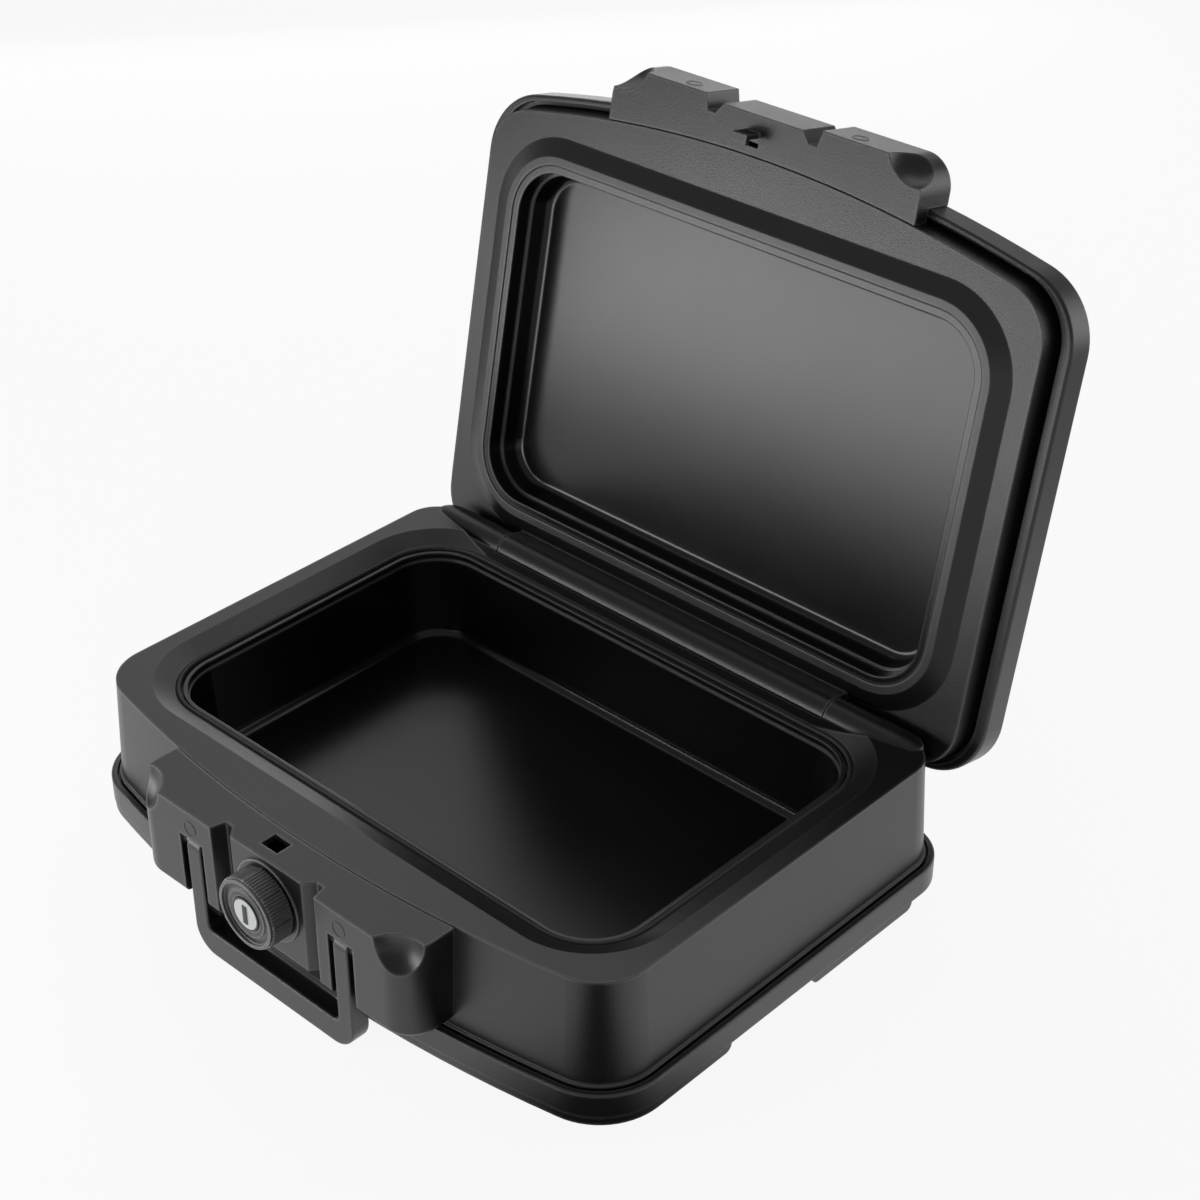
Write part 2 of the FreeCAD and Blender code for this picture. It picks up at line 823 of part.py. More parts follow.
def knob_cap():
    """A plain disc in the knob's face with a raised pointer bar."""
    seat = knob_front_y + knob_face_recess
    disc = rod_y(knob_cap_radius, seat - knob_cap_height, seat, 0, z_knob)
    top = seat - knob_cap_height
    bar = box(
        -pointer_width / 2,
        pointer_width / 2,
        top - pointer_height,
        top,
        z_knob - pointer_length / 2,
        z_knob + pointer_length / 2,
    )
    return disc.fuse(bar).removeSplitter()


def knob_spindle():
    """The shaft from the knob to the latch cam, square where the cam sits."""
    start = bezel_y - parting_gap - spindle_in_knob
    shaft = rod_y(spindle_radius, start, cam_front_y, 0, z_knob)
    half = spindle_square / 2
    square = box(-half, half, cam_front_y, cam_back_y, z_knob - half, z_knob + half)
    return shaft.fuse(square).removeSplitter()


def latch_cam():
    """A hub, an arm and a curved rail that turns in over the barb of the lid's hook."""
    y = cam_front_y
    depth = Vec(0, cam_thickness, 0)
    inner = cam_rail_outer - cam_rail_width
    middle = (cam_rail_tip + cam_arm_end) / 2
    rail_edges = [
        arc(polar(inner, cam_rail_tip, y), polar(inner, middle, y), polar(inner, cam_arm_end, y)),
        line(polar(inner, cam_arm_end, y), polar(cam_rail_outer, cam_arm_end, y)),
        arc(
            polar(cam_rail_outer, cam_arm_end, y),
            polar(cam_rail_outer, middle, y),
            polar(cam_rail_outer, cam_rail_tip, y),
        ),
        line(polar(cam_rail_outer, cam_rail_tip, y), polar(inner, cam_rail_tip, y)),
    ]
    curved = Part.Face(Part.Wire(rail_edges)).extrude(depth)
    arm_corners = [
        polar(0, 0, y),
        polar(inner + cam_rail_width / 2, cam_arm_start, y),
        polar(inner + cam_rail_width / 2, cam_arm_end, y),
        polar(0, 0, y),
    ]
    arm = Part.Face(Part.makePolygon(arm_corners)).extrude(depth)
    hub = rod_y(cam_hub_radius, y, cam_back_y, 0, z_knob)
    half = spindle_square / 2 + press_gap
    square = box(-half, half, y - overshoot, cam_back_y + overshoot, z_knob - half, z_knob + half)
    cam = hub.fuse([curved, arm]).cut(square).removeSplitter()
    cam.rotate(Vec(0, 0, z_knob), Vec(0, 1, 0), cam_turn)
    return cam


def cam_screw():
    """The screw head that holds the cam on the end of the spindle."""
    return rod_y(cam_screw_radius, cam_back_y, cam_back_y + screw_head_height, 0, z_knob)


def carry_handle():
    """A U-shaped bail with rounded corners whose arm ends turn about the pivot pins."""
    z_low = handle_floor_gap
    z_bar = z_low + handle_bar
    outer = handle_x + handle_arm / 2
    inner = handle_x - handle_arm / 2
    y = housing_front_y
    bend_o = handle_outer_radius * (1 - math.sqrt(0.5))
    bend_i = handle_inner_radius * (1 - math.sqrt(0.5))
    ro = handle_outer_radius
    ri = handle_inner_radius
    edges = [
        line(Vec(outer, y, z_pivot), Vec(outer, y, z_low + ro)),
        arc(Vec(outer, y, z_low + ro), Vec(outer - bend_o, y, z_low + bend_o), Vec(outer - ro, y, z_low)),
        line(Vec(outer - ro, y, z_low), Vec(ro - outer, y, z_low)),
        arc(Vec(ro - outer, y, z_low), Vec(bend_o - outer, y, z_low + bend_o), Vec(-outer, y, z_low + ro)),
        line(Vec(-outer, y, z_low + ro), Vec(-outer, y, z_pivot)),
        line(Vec(-outer, y, z_pivot), Vec(-inner, y, z_pivot)),
        line(Vec(-inner, y, z_pivot), Vec(-inner, y, z_bar + ri)),
        arc(Vec(-inner, y, z_bar + ri), Vec(bend_i - inner, y, z_bar + bend_i), Vec(ri - inner, y, z_bar)),
        line(Vec(ri - inner, y, z_bar), Vec(inner - ri, y, z_bar)),
        arc(Vec(inner - ri, y, z_bar), Vec(inner - bend_i, y, z_bar + bend_i), Vec(inner, y, z_bar + ri)),
        line(Vec(inner, y, z_bar + ri), Vec(inner, y, z_pivot)),
        line(Vec(inner, y, z_pivot), Vec(outer, y, z_pivot)),
    ]
    bail = Part.Face(Part.Wire(edges)).extrude(Vec(0, handle_depth, 0))
    ends = both_sides(rod_x(handle_depth / 2, inner, outer, pivot_y, z_pivot))
    bail = bail.fuse(ends).removeSplitter()
    bail = bail.makeFillet(handle_edge_round, bail.Edges)
    pin_room = handle_pin_radius + running_gap
    bore = rod_x(pin_room, inner - overshoot, outer + overshoot, pivot_y, z_pivot)
    return bail.cut(both_sides(bore)).removeSplitter()


def swung_open(shape):
    """Turn a piece of the closed lid to the open rest position about the hinge axis."""
    turned = shape.copy()
    turned.rotate(Vec(0, hinge_y, z_hinge), Vec(1, 0, 0), -open_angle)
    return turned


def lid_outer(grow):
    """The lid's drafted skirt volume above the parting plane."""
    return loft(lid_plan(z_lid, grow), lid_plan(z_lid + lid_skirt_height, lid_flare + grow))


def lid_flange_plan(z, grow):
    """The outline of the lid's flange, which stands out less at the front and least at the rear."""
    side = flange_side + grow
    return outline(z, lid_back_y, lid_rear_corner, side, flange_front + grow, flange_rear + grow)


def lid_screw_places():
    """Where the lid housing's screw heads sit on the inside of the lid's skirt."""
    z = z_lid + skin + screw_head_radius + parting_gap
    bow = bow_radius - skin
    y = bow_centre_y - math.sqrt(bow ** 2 - housing_screw_x ** 2)
    return [Vec(side * housing_screw_x, y + screw_room, z) for side in (-1, 1)]


def lid_shell():
    """Skirt, parting flat, the ridge that enters the base's rim, and the hinge barrel in one moulding."""
    skirt = lid_outer(0)
    ridge = loft(mouth_plan(z_lid - ridge_drop, ridge_outer), mouth_plan(z_lid, lid_slope_outer))
    hollow = prism(lid_plan(z_lid + skin, -skin), far)
    opening = prism(mouth_plan(z_lid - ridge_drop - overshoot, ridge_inner + fit_gap), far)
    left = hinge_x - barrel_half_length
    right = hinge_x + barrel_half_length
    barrel = rod_x(barrel_radius, left, right, hinge_y, z_hinge)
    web = box(
        left,
        right,
        hinge_y - barrel_radius,
        hinge_y + barrel_radius - web_inset,
        z_hinge,
        z_lid + skin,
    )
    shell = skirt.fuse([ridge]).cut([hollow, opening]).fuse([barrel, web])
    bore = rod_x(
        hinge_pin_radius + running_gap,
        hinge_pin_start - overshoot,
        barrel_half_length + overshoot,
        hinge_y,
        z_hinge,
    )
    screw_holes = [
        rod_y(screw_radius + press_gap, p.y - screw_length, p.y, p.x, p.z) for p in lid_screw_places()
    ]
    tools = hinge_pair(knuckle(barrel_clearance)) + hinge_pair(bore) + screw_holes
    return shell.cut(tools).removeSplitter()


def tray_block(grow):
    """The outside of the lid's tray, grown by the given amount."""
    z_lip = z_lid - ridge_drop + tray_lip_recess
    z_seat = z_lid + skin
    z_top = z_lid + tray_depth + skin + grow
    shrink = tray_ledge + tray_wall_draft + tray_floor_draft
    lip = prism(mouth_plan(z_lip, ridge_inner + grow), z_seat - z_lip)
    flange = prism(mouth_plan(z_seat, ridge_inner + liner_flange + grow), liner_flange_height + grow)
    wall = loft(
        mouth_plan(z_seat, tray_mouth + skin + grow),
        mouth_plan(z_top, tray_mouth + skin - shrink + grow),
    )
    return lip.fuse([flange, wall])


def lid_liner():
    """The lid's tray: a lip inside the ridge, a ledge part way up and a rounded floor."""
    z_lip = z_lid - ridge_drop + tray_lip_recess
    z_ledge_in_lid = z_lid + tray_ledge_height
    z_top = z_lid + tray_depth
    below = tray_mouth - tray_wall_draft
    above = below - tray_ledge
    mouth = loft(mouth_plan(z_lip, tray_mouth), mouth_plan(z_ledge_in_lid, below))
    deep = loft(mouth_plan(z_ledge_in_lid, above), mouth_plan(z_top, above - tray_floor_draft))
    deep = deep.makeFillet(tray_floor_radius, edges_at(deep, z_top))
    return tray_block(0).cut([mouth, deep]).removeSplitter()


def lid_insulation():
    """The cast filling of the lid between the skirt, the tray and the cover."""
    inset = -skin - fill_gap
    z0 = z_lid + skin + liner_flange_height + fill_gap
    z1 = z_lid + flange_end
    z2 = z_lid + crown_height - skin - fill_gap
    low = prism(lid_plan(z0, inset), z1 - z0)
    high = loft(lid_plan(z1, inset), lid_plan(z2, inset - crown_inset))
    tools = [tray_block(fill_gap)]
    for p in lid_screw_places():
        room = screw_head_height + screw_room
        tools.append(rod_y(screw_head_radius + screw_room, p.y - skin, p.y + room, p.x, p.z))
    return low.fuse(high).cut(tools).removeSplitter()


def lid_cover():
    """The outer cover: a flanged rim that hooks over the skirt and a bevelled, rounded crown."""
    z0 = z_lid + flange_start
    z1 = z_lid + flange_end
    z2 = z_lid + crown_height
    rim = prism(lid_flange_plan(z0, 0), z1 - z0)
    crown = loft(lid_flange_plan(z1, 0), lid_plan(z2, -crown_inset))
    cover = rim.fuse(crown).removeSplitter()
    cover = cover.makeFillet(flange_edge_radius, edges_at(cover, z0))
    cover = cover.makeFillet(crown_round, edges_at(cover, z2))
    reach = lid_flare + flange_groove
    seat = lid_flare + fit_gap
    groove = prism(outline(z0, lid_back_y, lid_rear_corner, reach, reach, seat), flange_groove_depth)
    room = prism(lid_plan(z0, seat), lid_skirt_height - flange_start)
    inside = prism(lid_plan(z0, -skin), z1 - z0)
    under_crown = loft(lid_plan(z1, -skin), lid_plan(z2 - skin, -skin - crown_inset))
    return cover.cut([groove, room, inside, under_crown]).removeSplitter()


def lid_housing():
    """The lid's half of the lock housing, with the moulded hook that enters the catch hole."""
    block = prism(housing_plan(z_lid), lid_housing_height)
    backing = scoop_backing(block)
    block = block.cut(housing_hollow(z_lid + housing_skin, z_lid + lid_housing_height - housing_skin))
    bosses = [
        rod_y(housing_boss_radius, housing_front_y + overshoot, p.y, p.x, p.z) for p in lid_screw_places()
    ]
    block = block.fuse(bosses + backing)
    stem_y = catch_front_y + hook_wall
    z_end = z_lid - hook_drop
    z_barb = z_end + hook_barb
    head_y = stem_y + hook_head
    stem_back = stem_y + hook_stem
    left = catch_x - hook_width / 2
    corners = [
        Vec(left, stem_y, z_lid + housing_skin / 2),
        Vec(left, stem_y, z_end),
        Vec(left, head_y, z_end),
        Vec(left, head_y, z_barb),
        Vec(left, stem_back, z_barb),
        Vec(left, stem_back, z_lid + housing_skin / 2),
        Vec(left, stem_y, z_lid + housing_skin / 2),
    ]
    hook = Part.Face(Part.makePolygon(corners)).extrude(Vec(hook_width, 0, 0))
    block = block.fuse(hook)
    core_slot = box(
        catch_x - hook_width / 2,
        catch_x + hook_width / 2,
        head_y + fit_gap,
        head_y + hook_barb,
        z_lid - overshoot,
        z_lid + housing_skin + overshoot,
    )
    skirt = lid_outer(0)
    flange_room = prism(lid_flange_plan(z_lid + flange_start - fit_gap, fit_gap), far)
    screw_holes = [
        rod_y(screw_radius + press_gap, p.y - screw_length, p.y, p.x, p.z) for p in lid_screw_places()
    ]
    seam = prism(lid_plan(z_lid - overshoot, seam_gap), seam_depth + overshoot)
    tools = [core_slot, skirt, seam, flange_room] + screw_holes + scoops(0)
    return block.cut(tools).removeSplitter()


def lid_housing_screws():
    return [screw(p, Vec(0, -1, 0)) for p in lid_screw_places()]


base_pieces = [
    base_shell,
    base_liner,
    rim_seal,
    base_insulation,
    base_pan,
    rubber_feet,
    pan_screws,
    lock_housing,
    housing_screws,
    handle_pins,
    hinge_pins,
    knob_bezel,
    lock_nut,
    lock_knob,
    knob_cap,
    knob_spindle,
    latch_cam,
    cam_screw,
    carry_handle,
]
lid_pieces = [lid_shell, lid_liner, lid_insulation, lid_cover, lid_housing, lid_housing_screws]


def save(name, shape):
    """Write one sub-part and report how many solids it has and how large they are."""
    solids = shape if isinstance(shape, list) else [shape]
    whole = Part.makeCompound([solid for piece in solids for solid in piece.Solids])
    whole.exportStep(f"parts/{name}.step")
    print(name, len(whole.Solids), "valid" if whole.isValid() else "NOT VALID", round(whole.Volume))


os.makedirs("parts", exist_ok=True)
for piece in base_pieces:
    save(piece.__name__, piece())
for piece in lid_pieces:
    shape = piece()
    shapes = shape if isinstance(shape, list) else [shape]
    save(piece.__name__, [swung_open(each) for each in shapes])
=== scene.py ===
import json
import math
import bpy
from mathutils import Matrix, Vector


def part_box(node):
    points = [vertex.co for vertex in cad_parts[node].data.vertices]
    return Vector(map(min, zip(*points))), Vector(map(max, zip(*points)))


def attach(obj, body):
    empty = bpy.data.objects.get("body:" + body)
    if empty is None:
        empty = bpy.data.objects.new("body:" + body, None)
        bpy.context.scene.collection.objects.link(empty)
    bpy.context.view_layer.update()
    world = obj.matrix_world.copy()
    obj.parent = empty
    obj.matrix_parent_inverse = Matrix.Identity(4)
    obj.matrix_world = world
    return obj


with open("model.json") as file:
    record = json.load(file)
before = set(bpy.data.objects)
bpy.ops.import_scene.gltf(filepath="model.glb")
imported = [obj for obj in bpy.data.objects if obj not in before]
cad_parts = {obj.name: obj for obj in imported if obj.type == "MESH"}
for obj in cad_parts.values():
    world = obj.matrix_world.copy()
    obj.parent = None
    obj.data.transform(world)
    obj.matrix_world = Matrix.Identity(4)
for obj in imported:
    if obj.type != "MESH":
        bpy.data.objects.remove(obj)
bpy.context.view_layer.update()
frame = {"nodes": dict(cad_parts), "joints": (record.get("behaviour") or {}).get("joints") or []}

nodes = frame["nodes"]
scene = bpy.context.scene


def clear_selection():
    bpy.ops.object.select_all(action="DESELECT")


clear_selection()


def add(tree, kind, inputs=None, **settings):
    """Adds a shader node. Each input is given another node's output to read, or a plain value."""
    node = tree.nodes.new(kind)
    for name, value in settings.items():
        setattr(node, name, value)
    for label, source in (inputs or {}).items():
        if isinstance(source, bpy.types.NodeSocket):
            tree.links.new(source, node.inputs[label])
        else:
            node.inputs[label].default_value = source
    return node


def reckon(tree, operation, *terms):
    """The output of a Math node that works on the terms in their order."""
    node = add(tree, "ShaderNodeMath", dict(enumerate(terms)), operation=operation)
    return node.outputs["Value"]


def colour_mix(tree, share, first, second):
    node = add(tree, "ShaderNodeMix", data_type="RGBA", inputs={"Factor": share, "A": first, "B": second})
    return node.outputs["Result"]


def spread(tree, value, reach, low, high, **settings):
    """Maps a value, as it goes over its reach, from the low result to the high one."""
    inputs = {"Value": value, "From Min": reach[0], "From Max": reach[1], "To Min": low, "To Max": high}
    return add(tree, "ShaderNodeMapRange", inputs, **settings).outputs["Result"]


def new_group(name, inputs, outputs):
    tree = bpy.data.node_groups.new(name, "ShaderNodeTree")
    for label, kind in inputs.items():
        tree.interface.new_socket(label, in_out="INPUT", socket_type=kind)
    for label, kind in outputs.items():
        tree.interface.new_socket(label, in_out="OUTPUT", socket_type=kind)
    return tree, add(tree, "NodeGroupInput").outputs


grain_detail = 3.0
grain_raggedness = 0.6
flow_scale = 14.0
flow_detail = 4.0
gloss_from_grain = 0.45
gloss_from_flow = 0.55
gloss_span = (0.3, 0.7)


def moulded_skin_group():
    """Fine spark-eroded grain of a moulding, with slow changes of gloss and shade over the surface."""
    tree, given = new_group(
        "moulded skin",
        {
            "Vector": "NodeSocketVector",
            "Dark": "NodeSocketColor",
            "Light": "NodeSocketColor",
            "Grain Scale": "NodeSocketFloat",
            "Low Roughness": "NodeSocketFloat",
            "High Roughness": "NodeSocketFloat",
        },
        {"Color": "NodeSocketColor", "Roughness": "NodeSocketFloat", "Height": "NodeSocketFloat"},
    )
    grain = add(
        tree,
        "ShaderNodeTexNoise",
        {
            "Vector": given["Vector"],
            "Scale": given["Grain Scale"],
            "Detail": grain_detail,
            "Roughness": grain_raggedness,
        },
    ).outputs["Fac"]
    flow = add(
        tree,
        "ShaderNodeTexNoise",
        {"Vector": given["Vector"], "Scale": flow_scale, "Detail": flow_detail},
    ).outputs["Fac"]
    flow_part = reckon(tree, "MULTIPLY", flow, gloss_from_flow)
    gloss = reckon(tree, "MULTIPLY_ADD", grain, gloss_from_grain, flow_part)
    roughness = spread(tree, gloss, gloss_span, given["Low Roughness"], given["High Roughness"])
    shade = colour_mix(tree, flow, given["Dark"], given["Light"])
    add(tree, "NodeGroupOutput", {"Color": shade, "Roughness": roughness, "Height": grain})
    return tree


# Cosines between the rounded normal and the face's own: the painted edge highlight starts at the first and is
# full at the second.
edge_highlight_span = (0.99, 0.88)


def painted_edge_highlight_group():
    """Paints a highlight along the edges: the colour goes paler where the rounded normal turns away from the
    face.
    """
    tree, given = new_group(
        "painted edge highlight",
        {"Color": "NodeSocketColor", "Highlight Colour": "NodeSocketColor", "Rounded": "NodeSocketVector"},
        {"Color": "NodeSocketColor"},
    )
    face = add(tree, "ShaderNodeNewGeometry").outputs["Normal"]
    agree = add(tree, "ShaderNodeVectorMath", {0: given["Rounded"], 1: face}, operation="DOT_PRODUCT")
    # Painted highlight: the share of pale colour that stands in for light caught on the edges.
    highlight_share = spread(tree, agree.outputs["Value"], edge_highlight_span, 0.0, 1.0)
    add(tree, "NodeGroupOutput", {"Color": colour_mix(tree, highlight_share, given["Color"], given["Highlight Colour"])})
    return tree


skin_group = moulded_skin_group()
edge_highlight_group = painted_edge_highlight_group()

# The painted edge highlight reaches this many times further from an edge than its rounding does.
highlight_reach = 2.6
edge_samples = 6
highlight_samples = 4


def skin_material(
    name,
    dark,
    light,
    grain_scale,
    roughness,
    grain_depth,
    grain_strength=0.45,
    edge_radius=0.0009,
    edge_highlight_colour=None,
    constants=None,
):
    """A surface between two shades, with grain, softly rounded edges and, where a highlight colour is given,
    a painted highlight along the edges.
    """
    material = bpy.data.materials.new(name)
    material.use_nodes = True
    tree = material.node_tree
    shader = tree.nodes["Principled BSDF"]
    for label, value in (constants or {}).items():
        shader.inputs[label].default_value = value
    skin = add(
        tree,
        "ShaderNodeGroup",
        node_tree=skin_group,
        inputs={
            "Vector": add(tree, "ShaderNodeTexCoord").outputs["Object"],
            "Dark": (*dark, 1),
            "Light": (*light, 1),
            "Grain Scale": grain_scale,
            "Low Roughness": roughness[0],
            "High Roughness": roughness[1],
        },
    ).outputs
    rounded = add(tree, "ShaderNodeBevel", {"Radius": edge_radius}, samples=edge_samples)
    bump = add(
        tree,
        "ShaderNodeBump",
        {
            "Distance": grain_depth,
            "Strength": grain_strength,
            "Height": skin["Height"],
            "Normal": rounded.outputs["Normal"],
        },
    )
    colour = skin["Color"]
    # Painted highlight: the edges are coloured paler to stand in for light caught on them.
    if edge_highlight_colour:
        wide = add(tree, "ShaderNodeBevel", {"Radius": highlight_reach * edge_radius}, samples=highlight_samples)
        colour = add(
            tree,
            "ShaderNodeGroup",
            node_tree=edge_highlight_group,
            inputs={"Color": colour, "Highlight Colour": (*edge_highlight_colour, 1), "Rounded": wide.outputs["Normal"]},
        ).outputs["Color"]
    tree.links.new(colour, shader.inputs["Base Color"])
    tree.links.new(skin["Roughness"], shader.inputs["Roughness"])
    tree.links.new(bump.outputs["Normal"], shader.inputs["Normal"])
    return material


shell_black = skin_material(
    "satin black moulding",
    dark=(0.004, 0.004, 0.0045),
    light=(0.007, 0.007, 0.0075),
    grain_scale=1300,
    roughness=(0.29, 0.37),
    grain_depth=0.0002,
    # Pale colour of the painted edge highlight on the shell.
    edge_highlight_colour=(0.11, 0.11, 0.115),
    constants={"Specular IOR Level": 0.7},
)
liner_black = skin_material(
    "smooth black lining",
    dark=(0.004, 0.004, 0.0045),
    light=(0.006, 0.006, 0.0065),
    grain_scale=1800,
    roughness=(0.16, 0.21),
    grain_depth=0.0003,
    grain_strength=0.15,
    # Pale colour of the painted edge highlight on the lining.
    edge_highlight_colour=(0.08, 0.08, 0.085),
    constants={"Specular IOR Level": 0.50},
)
knob_skin = {
    "dark": (0.004, 0.004, 0.004),
    "light": (0.006, 0.006, 0.006),
    "grain_scale": 2600,
    "roughness": (0.25, 0.33),
    "grain_depth": 0.0002,
}
knob_black = skin_material(
    "glossy black knob",
    **knob_skin,
    edge_radius=0.0007,
    # Pale colour of the painted edge highlight on the knob's ribs.
    edge_highlight_colour=(0.28, 0.28, 0.285),
    constants={"Specular IOR Level": 0.8},
)
seal_black = skin_material(
    "rubber seal",
    dark=(0.02, 0.02, 0.02),
    light=(0.03, 0.03, 0.03),
    grain_scale=2200,
    roughness=(0.45, 0.6),
    grain_depth=0.0003,
)
foot_black = skin_material(
    "rubber feet",
    dark=(0.03, 0.03, 0.03),
    light=(0.04, 0.04, 0.04),
    grain_scale=1200,
    roughness=(0.7, 0.85),
    grain_depth=0.0006,
)
cast_fill = skin_material(
    "cast filling",
    dark=(0.45, 0.43, 0.40),
    light=(0.60, 0.58, 0.55),
    grain_scale=500,
    roughness=(0.8, 0.95),
    grain_depth=0.0012,
)
zinc_steel = skin_material(
    "zinc plated steel",
    dark=(0.55, 0.56, 0.58),
    light=(0.70, 0.70, 0.72),
    grain_scale=900,
    roughness=(0.25, 0.4),
    grain_depth=0.0001,
    constants={"Metallic": 1.0},
)

painted_disc_radius = 0.0076
painted_disc_colour = (0.62, 0.63, 0.64, 1)
# What lies further back than this behind the pointer bar's front takes the paint.
pointer_step = 0.0003
knob_face_edge = 0.0003


def knob_face_material():
    """A pale painted disc on the knob's black face, crossed by the black pointer bar that stands above it."""
    material = skin_material("knob face", **knob_skin, edge_radius=knob_face_edge)
    low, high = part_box("knob_cap")
    tree = material.node_tree
    colour_socket = tree.nodes["Principled BSDF"].inputs["Base Color"]
    black = colour_socket.links[0].from_socket
    place = add(tree, "ShaderNodeTexCoord").outputs["Object"]
    centre = (0, 0, (low[2] + high[2]) / 2)
    from_centre = add(tree, "ShaderNodeVectorMath", {0: place, 1: centre}, operation="SUBTRACT")
    in_face = {0: from_centre.outputs["Vector"], 1: (1, 0, 1)}
    flat = add(tree, "ShaderNodeVectorMath", in_face, operation="MULTIPLY")
    radius = add(tree, "ShaderNodeVectorMath", {0: flat.outputs["Vector"]}, operation="LENGTH")
    depth = add(tree, "ShaderNodeSeparateXYZ", {"Vector": place}).outputs["Y"]
    disc = reckon(tree, "LESS_THAN", radius.outputs["Value"], painted_disc_radius)
    behind = reckon(tree, "GREATER_THAN", depth, low[1] + pointer_step)
    painted = reckon(tree, "MULTIPLY", disc, behind)
    tree.links.new(colour_mix(tree, painted, black, painted_disc_colour), colour_socket)
    return material


knob_face = knob_face_material()

finishes = {
    "base_shell": shell_black,
    "base_liner": liner_black,
    "rim_seal": seal_black,
    "base_insulation": cast_fill,
    "base_pan": shell_black,
    "rubber_feet": foot_black,
    "pan_screws": zinc_steel,
    "lock_housing": shell_black,
    "housing_screws": zinc_steel,
    "handle_pins": zinc_steel,
    "hinge_pins": zinc_steel,
    "knob_bezel": knob_black,
    "lock_nut": zinc_steel,
    "lock_knob": knob_black,
    "knob_cap": knob_face,
    "knob_spindle": zinc_steel,
    "latch_cam": zinc_steel,
    "cam_screw": zinc_steel,
    "carry_handle": shell_black,
    "lid_shell": shell_black,
    "lid_liner": liner_black,
    "lid_insulation": cast_fill,
    "lid_cover": shell_black,
    "lid_housing": shell_black,
    "lid_housing_screws": zinc_steel,
}
for name, material in finishes.items():
    mesh = nodes[name].data
    mesh.materials.clear()
    mesh.materials.append(material)

ring_radius = 0.0041
ring_width = 0.00045
ring_height = 0.00014
ring_sides = 64
# Each ring's place: from the middle of the front, and up or down from the parting face.
ring_across = 0.0504
ring_drop = 0.009


def witness_ring():
    """The thin raised ring that an ejector leaves on a moulding's face, lying in the plane y = 0."""
    clear_selection()
    upright = (math.radians(90), 0, 0)
    bpy.ops.mesh.primitive_circle_add(
        vertices=ring_sides, radius=ring_radius, fill_type="NGON", rotation=upright
    )
    ring = bpy.context.object
    bpy.ops.object.transform_apply(location=False, rotation=True, scale=False)
    bpy.ops.object.mode_set(mode="EDIT")
    bpy.ops.mesh.select_mode(type="FACE")
    bpy.ops.mesh.select_all(action="SELECT")
    bpy.ops.mesh.inset(thickness=ring_width)
    bpy.ops.mesh.delete(type="FACE")
    bpy.ops.mesh.select_all(action="SELECT")
    bpy.ops.mesh.extrude_region_move(TRANSFORM_OT_translate={"value": (0, -ring_height, 0)})
    bpy.ops.mesh.select_all(action="SELECT")
    bpy.ops.mesh.normals_make_consistent(inside=False)
    bpy.ops.object.mode_set(mode="OBJECT")
    ring.data.materials.append(shell_black)
    return ring


def copy_of(source, name, matrix):
    """A copy with its own mesh, whose place is applied to that mesh."""
    clear_selection()
    source.select_set(True)
    bpy.context.view_layer.objects.active = source
    bpy.ops.object.duplicate(linked=False)
    piece = bpy.context.object
    piece.name = name
    piece.matrix_world = matrix @ source.matrix_world
    bpy.ops.object.transform_apply(location=True, rotation=True, scale=True)
    return piece


housing_low, housing_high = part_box("lock_housing")
parting_height = housing_high[2]
front_plane = housing_low[1]
lid_joint = next(joint for joint in frame["joints"] if joint["name"] == "lid_hinge")
hinge_place = Vector(lid_joint["pos_m"])
open_turn = math.radians(-lid_joint["range_deg"][1])
lid_lift = (
    Matrix.Translation(hinge_place) @ Matrix.Rotation(open_turn, 4, "X") @ Matrix.Translation(-hinge_place)
)
first_ring = witness_ring()
for side, x in (("left", -ring_across), ("right", ring_across)):
    below = Matrix.Translation((x, front_plane, parting_height - ring_drop))
    above = Matrix.Translation((x, front_plane, parting_height + ring_drop))
    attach(copy_of(first_ring, "base_ring_" + side, below), "base")
    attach(copy_of(first_ring, "lid_ring_" + side, lid_lift @ above), "lid")
clear_selection()
first_ring.select_set(True)
bpy.ops.object.delete()

floor_size = 16.0
floor_colour = (0.88, 0.88, 0.88, 1)
floor_roughness = 0.9
floor_specular = 0.1
# How much of the floor is plain white to the camera and to reflections. The rest is lit and takes the shadow.
floor_white_seen = 0.91
floor_white_mirrored = 0.88
# In reflections the floor shows a painted pool of light: its white dims with the distance from the box.
painted_pool_near = 1.0
painted_pool_far = 0.40
painted_light_pool_reach = (0.32, 0.75)
# The painted dark strip, painted shade seen only in reflections, lies across this direction, at this distance
# from the middle, and fades over this reach.
painted_shade_strip_across = (0.75, 0.66, 0)
painted_shade_strip_middle = 0.055
painted_shade_strip_reach = (0.02, 0.085)


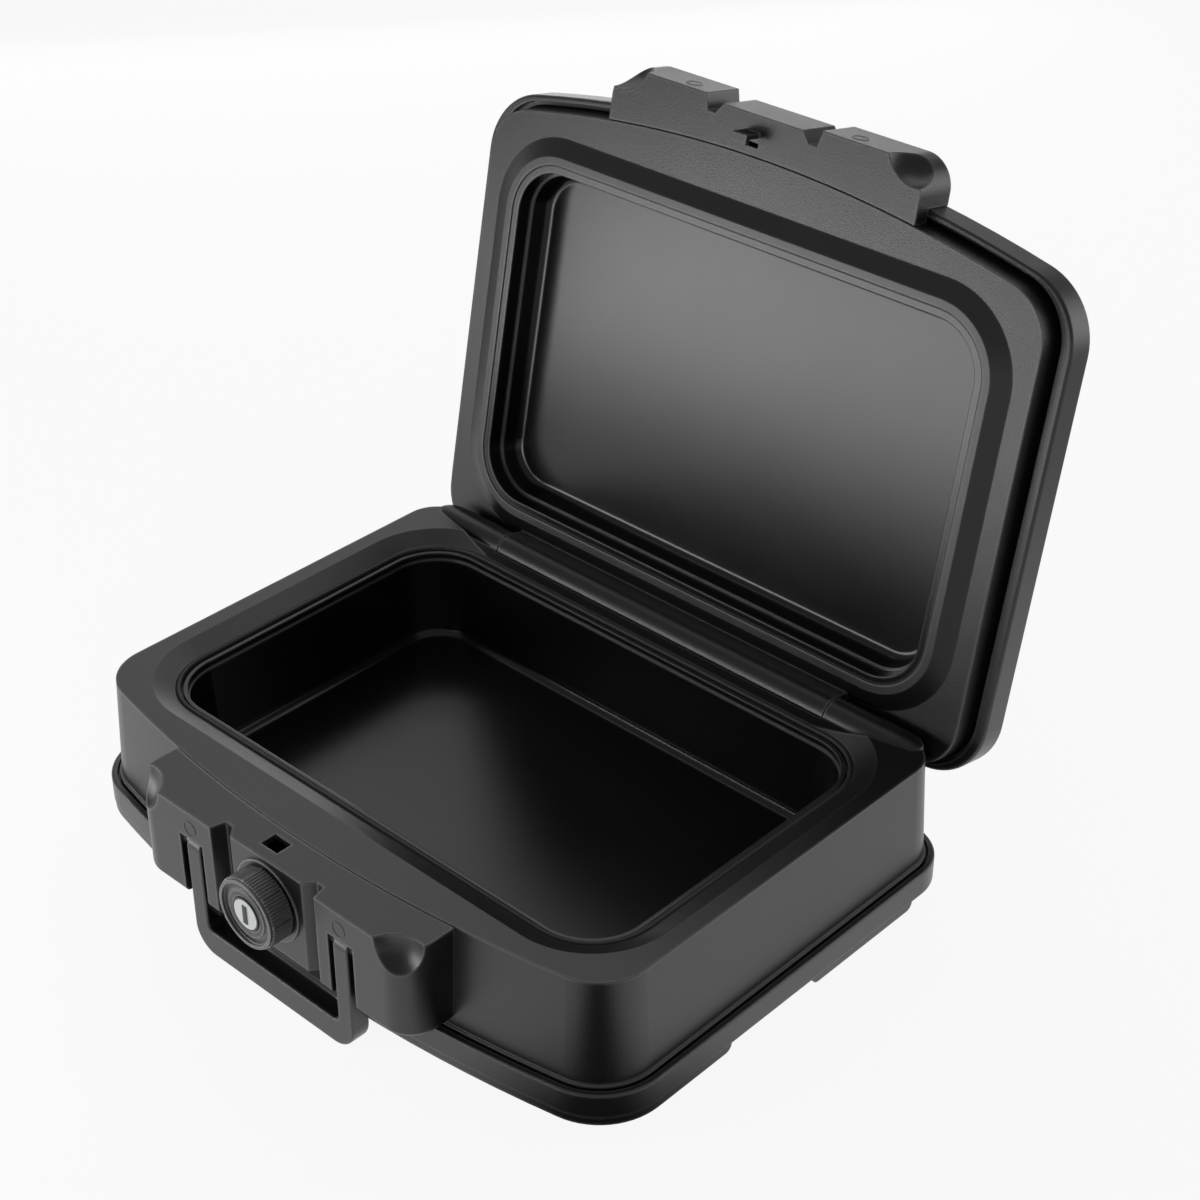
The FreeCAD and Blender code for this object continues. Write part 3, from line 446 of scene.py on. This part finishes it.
def white_floor_material():
    """A matt white floor that stays white to the camera and still takes the shadow.

    Reflections see a painted pool of light round the box, with a painted dark strip of shade before its front
    corner.
    """
    material = bpy.data.materials.new("white floor")
    material.use_nodes = True
    tree = material.node_tree
    shader = tree.nodes["Principled BSDF"]
    shader.inputs["Base Color"].default_value = floor_colour
    shader.inputs["Roughness"].default_value = floor_roughness
    shader.inputs["Specular IOR Level"].default_value = floor_specular
    rays = add(tree, "ShaderNodeLightPath").outputs
    place = add(tree, "ShaderNodeTexCoord").outputs["Object"]
    # Painted shade: a dark strip in the floor's glow, seen in reflections before the box's front corner.
    across = add(tree, "ShaderNodeVectorMath", {0: place, 1: painted_shade_strip_across}, operation="DOT_PRODUCT")
    aside = reckon(tree, "SUBTRACT", across.outputs["Value"], painted_shade_strip_middle)
    off_strip = reckon(tree, "ABSOLUTE", aside)
    strip = spread(tree, off_strip, painted_shade_strip_reach, 0.0, 1.0, interpolation_type="SMOOTHSTEP")
    # Painted light: a pool of glow round the box, seen in reflections.
    apart = add(tree, "ShaderNodeVectorMath", {0: place}, operation="LENGTH").outputs["Value"]
    pool = spread(
        tree, apart, painted_light_pool_reach, painted_pool_near, painted_pool_far, interpolation_type="SMOOTHSTEP"
    )
    lit = reckon(tree, "MULTIPLY", strip, pool)
    level = reckon(tree, "MAXIMUM", rays["Is Camera Ray"], lit)
    glow = add(tree, "ShaderNodeEmission", {"Strength": level})
    bounced = reckon(tree, "MAXIMUM", rays["Is Glossy Ray"], rays["Is Transmission Ray"])
    seen = reckon(tree, "MULTIPLY", rays["Is Camera Ray"], floor_white_seen)
    mirrored = reckon(tree, "MULTIPLY", bounced, floor_white_mirrored)
    share = reckon(tree, "MAXIMUM", seen, mirrored)
    surfaces = {0: share, 1: shader.outputs["BSDF"], 2: glow.outputs["Emission"]}
    mix = add(tree, "ShaderNodeMixShader", surfaces)
    tree.links.new(mix.outputs["Shader"], tree.nodes["Material Output"].inputs["Surface"])
    return material


clear_selection()
bpy.ops.mesh.primitive_plane_add(size=floor_size, location=(0, 0, 0))
floor = bpy.context.object
floor.name = "floor"
floor.data.materials.append(white_floor_material())

# Sines of the heights above the horizon over which the room goes from white to its dimmer level.
horizon_rise = (0.03, 0.16)
horizon_level = 1.0
room_level = 0.24


def studio_world():
    """A room that is white round the horizon and dimmer overhead, the same for every ray."""
    world = bpy.data.worlds.new("studio")
    scene.world = world
    world.use_nodes = True
    tree = world.node_tree
    back = tree.nodes["Background"]
    back.inputs["Color"].default_value = (1, 1, 1, 1)
    direction = add(tree, "ShaderNodeTexCoord").outputs["Generated"]
    rise = add(tree, "ShaderNodeSeparateXYZ", {"Vector": direction}).outputs["Z"]
    level = spread(tree, rise, horizon_rise, horizon_level, room_level, interpolation_type="SMOOTHSTEP")
    tree.links.new(level, back.inputs["Strength"])


studio_world()


def softbox(name, place, target, width, height, radiance):
    """A rectangular lamp whose face has the given brightness, where 1 is white."""
    data = bpy.data.lights.new(name, "AREA")
    data.shape = "RECTANGLE"
    data.size = width
    data.size_y = height
    data.energy = radiance * math.pi * width * height
    lamp = bpy.data.objects.new(name, data)
    scene.collection.objects.link(lamp)
    direction = Vector(target) - Vector(place)
    lamp.location = place
    lamp.rotation_euler = direction.to_track_quat("-Z", "Y").to_euler()


softbox(
    "front left box",
    place=(-0.33, -0.49, 0.145),
    target=(0, 0.10, 0.145),
    width=0.60,
    height=0.20,
    radiance=4.6,
)
softbox(
    "back right box",
    place=(0.82, 0.90, 0.38),
    target=(0, 0, 0.10),
    width=1.00,
    height=0.70,
    radiance=1.3,
)
softbox(
    "back left strip",
    place=(-0.95, 0.75, 0.15),
    target=(0, 0, 0.10),
    width=1.30,
    height=0.17,
    radiance=2.2,
)
softbox(
    "back left box",
    place=(-0.95, 0.75, 0.50),
    target=(0, 0, 0.15),
    width=1.30,
    height=0.45,
    radiance=0.4,
)
softbox(
    "overhead box",
    place=(-0.55, 0.75, 1.20),
    target=(0, 0, 0.10),
    width=1.50,
    height=0.90,
    radiance=0.8,
)

camera_place = Vector((0.66899, -0.63701, 0.74896))
camera_target = Vector((0.0, 0.07344, 0.11519))
camera_roll_deg = -0.101
camera_lens_mm = 71.79
camera_sensor_mm = 36.0
camera_clip = (0.05, 50.0)


def photo_camera():
    data = bpy.data.cameras.new("photo camera")
    data.sensor_fit = "HORIZONTAL"
    data.sensor_width = camera_sensor_mm
    data.lens = camera_lens_mm
    data.clip_start = camera_clip[0]
    data.clip_end = camera_clip[1]
    camera = bpy.data.objects.new("photo camera", data)
    scene.collection.objects.link(camera)
    turn = (camera_target - camera_place).to_track_quat("-Z", "Y").to_matrix().to_4x4()
    roll = Matrix.Rotation(math.radians(camera_roll_deg), 4, "Z")
    camera.matrix_world = Matrix.Translation(camera_place) @ turn @ roll
    scene.camera = camera


photo_camera()
scene.view_settings.view_transform = "Standard"
